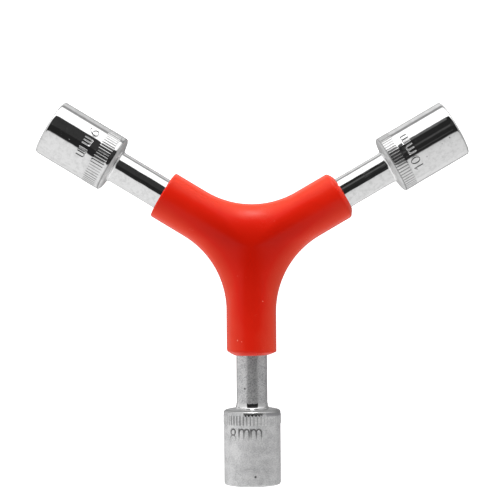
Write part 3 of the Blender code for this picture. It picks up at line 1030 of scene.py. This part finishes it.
def braze_grid(arm):
    """A ring in the corner between rod and socket, with a hollow quarter ellipse for its face."""
    station, radius = into_arm(node_points("braze_fillet_" + arm.size), arm.direction)[:2]
    length = station.max() - station.min()
    height = radius.max() - radius.min()
    turn = np.linspace(0, math.tau, braze_columns, endpoint=False)
    angle = np.linspace(0, math.pi / 2, 13)
    stations = arm.shoulder - braze_toe - (length - braze_toe) * (1 - np.cos(angle))
    radii = arm.rod_radius + braze_toe + (height - braze_toe) * (1 - np.sin(angle))
    seat = arm.shoulder + braze_seat
    buried = arm.rod_radius - braze_root
    stations = np.concatenate([[seat, seat], stations, [arm.shoulder - length]])[:, None]
    radii = np.concatenate([[buried, arm.rod_radius + height], radii, [buried]])[:, None]
    uneven = 1 + 0.04 * np.sin(3 * turn + 1.3) + 0.03 * np.sin(5 * turn)
    stations = arm.shoulder + (stations - arm.shoulder) * uneven
    return into_part(round_points(stations, radii, turn), arm.direction)


for arm in arms:
    plate = chrome if arm.size == "8mm" else brushed
    fillet = make_skin("braze_" + arm.size, [braze_grid(arm)], [plate], True)
    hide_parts("braze_fillet_" + arm.size)

# %% [markdown]
# ## Weld beads
# The three rods are welded together under the grip. Nobody sees the beads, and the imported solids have
# their shape, so they stay as they are and get the colours of weld metal.

# %% Weld beads
for name in ("upper", "left", "right"):
    bead = frame["nodes"]["weld_bead_" + name]
    bead.data.materials.clear()
    bead.data.materials.append(welded)
    print(f"weld_bead_{name}: {len(bead.data.polygons)} faces, with the finish {welded.name}")

# %% [markdown]
# ## The room that the chrome mirrors
# A round bar mirrors every direction at a right angle to it, so its bands can be read back into a room:
# straight above, a dark patch where the camera hangs; on the far side a large white softbox down to the
# edge of the table, which shows as a thin dark line; to the other sides greyer walls; below, the table.
# The room is far from the small tool, so a world that depends only on the direction does the same.

# %% Room
# The light of the walls: far, near, right and left
wall_lights = (2.0, 1.18, 0.53, 0.88)
# The window leans this far from straight up to the far side. Its half height, in degrees, and its half
# width each go from full light to none
window_light = 20.0
window_lean = 73
window_height = (8, 10)
window_width = (0.08, 0.15)
edge_light = 0.42
edge_drop = 0.385
shadow_depth = 0.60
# The dark patch: how far it leans to each side of straight up, in degrees, its light, and how much more
# there is in its far right part
dark_near = -10.5
dark_far = 51.5
dark_left = -39.0
dark_right = 44.0
dark_light = 0.025
corner_light = 0.025
# Gleams in the dark patch: beside and ahead of the 10 mm arm, their width, and their light
gleams = [
    (-0.07, 0.11, 0.05, 0.040),
    (0.29, 0.11, 0.08, 0.045),
    (0.74, 0.11, 0.10, 0.150),
    (0.47, 0.07, 0.14, 0.100),
]


def make_room():
    """A world whose light is worked out from the direction: up is Z and the far side is +Y.

    Each wall's light is multiplied by the square of how far the direction points to it, and their sum is
    the light above the table. The window, the table's edge and the dark patch are laid over that.
    """
    world = bpy.data.worlds.new("studio")
    bpy.context.scene.world = world
    world.use_nodes = True
    wire = Wire(world.node_tree)
    direction = wire.node("TexCoord", output="Generated")
    east, north, up = axes(direction)
    lean = wire.maths("ARCTAN2", north, up) * math.degrees(1)
    tilt = wire.maths("ARCTAN2", east, up) * math.degrees(1)
    level = wire.maths("SQRT", east * east + north * north) + 0.001
    sides = [wire.maths("MAXIMUM", side / level, 0.0) for side in (north, 0 - north, east, 0 - east)]
    far, _, right, left = sides
    walls = sum(light * side * side for light, side in zip(wall_lights, sides))
    window = window_light * lean.near(window_lean, *window_height) * (east / level).near(0, *window_width)
    walls = walls + window
    shadow = (0.8 + 0.6 * right) * (0 - up).step(0.80, 0.96)
    shadow = wire.maths("MAXIMUM", shadow, right.step(0.60, 0.95))
    shadow = wire.maths("MAXIMUM", shadow, far.step(0.40, 0.55) * right.step(0.50, 0.75))
    shadow = wire.maths("MAXIMUM", shadow, left.step(0.70, 0.95) * (0 - up).step(0.60, 0.85))
    table = 1.0 - 0.15 * north.step(0.1, 0.4) * east.step(-0.2, 0.2) - shadow_depth * shadow
    edge = north.step(0.2, 0.3) * up.near(-edge_drop, 0.09, 0.17)
    above = up.step(-0.45, -0.42)
    patch = lean.step(dark_near - 2.5, dark_near + 2.5) * (1 - lean.step(dark_far - 1, dark_far + 1))
    patch = patch * tilt.step(dark_left - 2, dark_left + 2) * (1 - tilt.step(dark_right - 2, dark_right + 2))
    along = east * math.cos(arms[0].direction) + north * math.sin(arms[0].direction)
    across = north * math.cos(arms[0].direction) - east * math.sin(arms[0].direction)
    inside = dark_light + corner_light * lean.step(11.5, 15) * tilt.step(-5, -2)
    for beside, ahead, width, brightness in gleams:
        strip = across.near(beside, 0.3 * width, width) * along.near(ahead, 0.02, 0.03)
        inside = inside + brightness * strip
    light = walls * above + table * (1 - above)
    light = light * (1 - edge) + edge_light * edge
    light = light * (1 - patch) + inside * patch
    feed(world.node_tree.nodes["Background"], "Color", light)
    print(f"room: {len(world.node_tree.nodes)} nodes, with a window of light {window_light:.0f}")


make_room()

# %% [markdown]
# ## Floor and camera
# The photograph's ground is pure white with no shadow, so the floor gives off its own even light, and only
# the camera sees it: the tool is lit by the room. The camera hangs straight above, far enough for the mild
# perspective that shows the sockets' back faces, and turned by half a degree.

# %% Floor
floor_size = 3.0
floor_light = 1.05


def make_floor():
    """A large plane under the tool."""
    height = cad_box[0].z
    mesh = bpy.data.meshes.new("floor")
    corners = [(-1, -1), (1, -1), (1, 1), (-1, 1)]
    corners = [(x * floor_size, y * floor_size, height) for x, y in corners]
    mesh.from_pydata(corners, [], [(0, 1, 2, 3)])
    floor = add_object("floor", mesh)
    paper = {"Base_Color": grey(0.9), "Emission_Color": grey(1), "Emission_Strength": floor_light}
    mesh.materials.append(new_material("white_paper", **paper)[0])
    floor.visible_glossy = False
    floor.visible_diffuse = False
    print(f"floor {-height / mm:.1f} mm below the rods' axes, {2 * floor_size:.0f} m across")


make_floor()

# %% Camera
image_size = 500
hub_pixel = (250.8, 247.3)
camera_height = 0.456
metres_per_pixel = 0.0002465
photo_turn = math.radians(0.47)


def make_camera():
    """A camera that looks straight down, placed so that the hub falls on its pixel of the photograph."""
    data = bpy.data.cameras.new("camera")
    data.sensor_width = 36.0
    data.lens = data.sensor_width * camera_height / (image_size * metres_per_pixel)
    camera = add_object("camera", data)
    right = (image_size / 2 - hub_pixel[0]) * metres_per_pixel
    upwards = (hub_pixel[1] - image_size / 2) * metres_per_pixel
    cosine, sine = math.cos(-photo_turn), math.sin(-photo_turn)
    camera.location = (right * cosine - upwards * sine, right * sine + upwards * cosine, camera_height)
    camera.rotation_euler = (0, 0, -photo_turn)
    bpy.context.scene.camera = camera
    print(f"camera {camera_height / mm:.0f} mm above the hub with a {data.lens:.1f} mm lens")


make_camera()
bpy.context.scene.view_settings.view_transform = "Standard"
